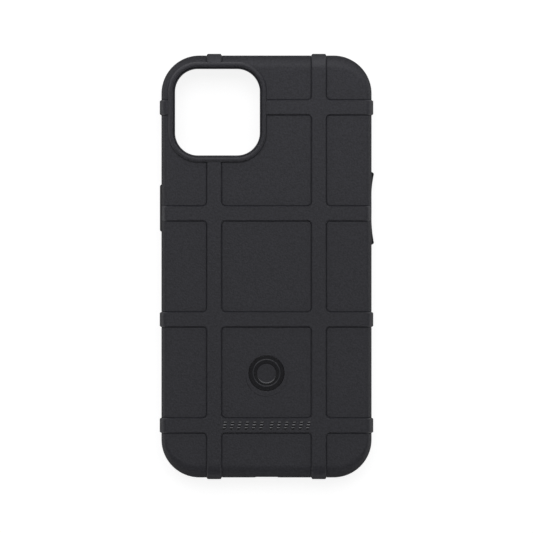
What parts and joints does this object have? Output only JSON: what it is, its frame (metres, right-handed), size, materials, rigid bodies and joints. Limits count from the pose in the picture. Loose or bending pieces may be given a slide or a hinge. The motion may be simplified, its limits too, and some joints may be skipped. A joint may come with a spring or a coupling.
{
  "type": "phone case",
  "caption": "Moulded rubber phone case with a raised rib lattice on its back, a rimmed camera window, an open front with a lip, side keys that press in, and a glossy badge.",
  "frame": {"origin": "on the ground under the middle of the case, which lies on its front lip", "axes": "+Z out of the ribbed back, +Y towards the end with the camera window, +X to the right as the back is looked at"},
  "size_m": [0.076, 0.151, 0.0115],
  "materials": {
    "shell_rubber": "fine matte grain",
    "key_rubber": "smooth matte",
    "web_rubber": "smooth matte",
    "badge_gloss": "polished",
    "tick_gloss": "polished"
  },
  "bodies": {
    "case": {"case_shell": "shell_rubber", "power_web": "web_rubber", "volume_up_web": "web_rubber", "volume_down_web": "web_rubber", "badge_disc": "badge_gloss", "rib_tick_1": "tick_gloss", "rib_tick_2": "tick_gloss", "rib_tick_3": "tick_gloss", "rib_tick_4": "tick_gloss", "rib_tick_5": "tick_gloss", "rib_tick_6": "tick_gloss", "rib_tick_7": "tick_gloss", "rib_tick_8": "tick_gloss", "rib_tick_9": "tick_gloss", "rib_tick_10": "tick_gloss", "rib_tick_11": "tick_gloss", "rib_tick_12": "tick_gloss"},
    "power_key": {"power_button": "key_rubber"},
    "volume_up_key": {"volume_up_button": "key_rubber"},
    "volume_down_key": {"volume_down_button": "key_rubber"}
  },
  "joints": [
    {"name": "power_press", "type": "slide", "parent": "case", "child": "power_key", "axis": [1, 0, 0], "range_m": [0, 0.00035], "stiffness_N_per_m": 400, "deforming": ["power_web"]},
    {"name": "volume_up_press", "type": "slide", "parent": "case", "child": "volume_up_key", "axis": [-1, 0, 0], "range_m": [0, 0.00035], "stiffness_N_per_m": 400, "deforming": ["volume_up_web"]},
    {"name": "volume_down_press", "type": "slide", "parent": "case", "child": "volume_down_key", "axis": [-1, 0, 0], "range_m": [0, 0.00035], "stiffness_N_per_m": 400, "deforming": ["volume_down_web"]}
  ]
}
